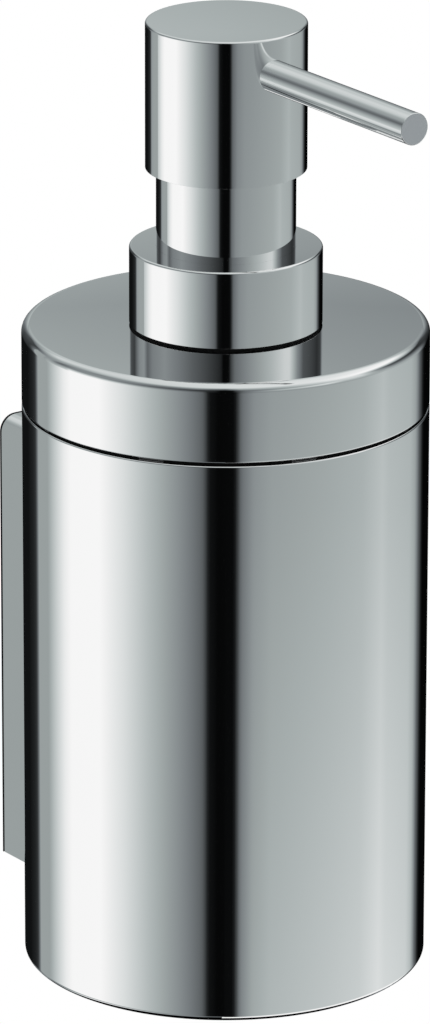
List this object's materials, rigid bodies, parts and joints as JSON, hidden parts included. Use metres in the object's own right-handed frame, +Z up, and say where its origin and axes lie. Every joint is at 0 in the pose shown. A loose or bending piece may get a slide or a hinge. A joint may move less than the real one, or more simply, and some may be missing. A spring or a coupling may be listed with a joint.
{
  "type": "wall-mounted lotion dispenser",
  "caption": "Round chrome lotion dispenser on a wall bracket, with a lift-out container, a lift-off lid and a press pump whose straight spout swivels.",
  "frame": {"origin": "centre of the wall plate's back face, on the wall", "axes": "+Z up, +Y into the wall, so the front and the spout face -Y; the round body's axis is parallel to Z, 47.3 mm in front of the wall"},
  "size_m": [0.07, 0.1005, 0.1681],
  "materials": {
    "chrome": "mirror polished",
    "steel": "satin stainless",
    "black_rubber": "matt",
    "frosted_plastic": "frosted, natural",
    "grey_plastic": "moulded, satin",
    "white_plastic": "moulded, satin"
  },
  "bodies": {
    "bracket": {"wall_plate": "steel", "bracket_housing": "chrome", "bracket_lock_screw": "steel", "outer_sleeve": "chrome", "base_pad": "black_rubber", "sleeve_screw_lower": "steel", "sleeve_washer_lower": "steel", "sleeve_nut_lower": "steel", "sleeve_screw_upper": "steel", "sleeve_washer_upper": "steel", "sleeve_nut_upper": "steel"},
    "container": {"container_cup": "frosted_plastic"},
    "lid_unit": {"lid": "chrome", "lid_liner": "grey_plastic", "lid_seal": "black_rubber", "collar": "chrome", "collar_gasket": "black_rubber", "pump_housing": "white_plastic", "pump_gasket": "black_rubber", "pump_cap": "white_plastic", "stem_seal": "black_rubber", "inlet_ball": "steel", "ball_cage": "white_plastic", "dip_tube": "frosted_plastic", "return_spring": "steel"},
    "plunger": {"piston": "grey_plastic"},
    "head": {"stem": "white_plastic", "outlet_ball": "steel", "head_cap": "chrome", "head_insert": "white_plastic", "guide_sleeve": "chrome", "spout_tube": "chrome", "spout_o_ring": "black_rubber"}
  },
  "joints": [
    {"name": "container_lift", "type": "slide", "parent": "bracket", "child": "container", "axis": [0, 0, 1], "range_m": [0, 0.105]},
    {"name": "lid_lift", "type": "slide", "parent": "container", "child": "lid_unit", "axis": [0, 0, 1], "range_m": [0, 0.1]},
    {"name": "pump_press", "type": "slide", "parent": "lid_unit", "child": "plunger", "axis": [0, 0, -1], "range_m": [0, 0.012], "stiffness_N_per_m": 900, "springref_m": -0.006, "deforming": ["return_spring"]},
    {"name": "head_swivel", "type": "hinge", "parent": "plunger", "child": "head", "pos_m": [0, -0.0473, 0.1], "axis": [0, 0, 1], "range_deg": [-145, 145]}
  ]
}
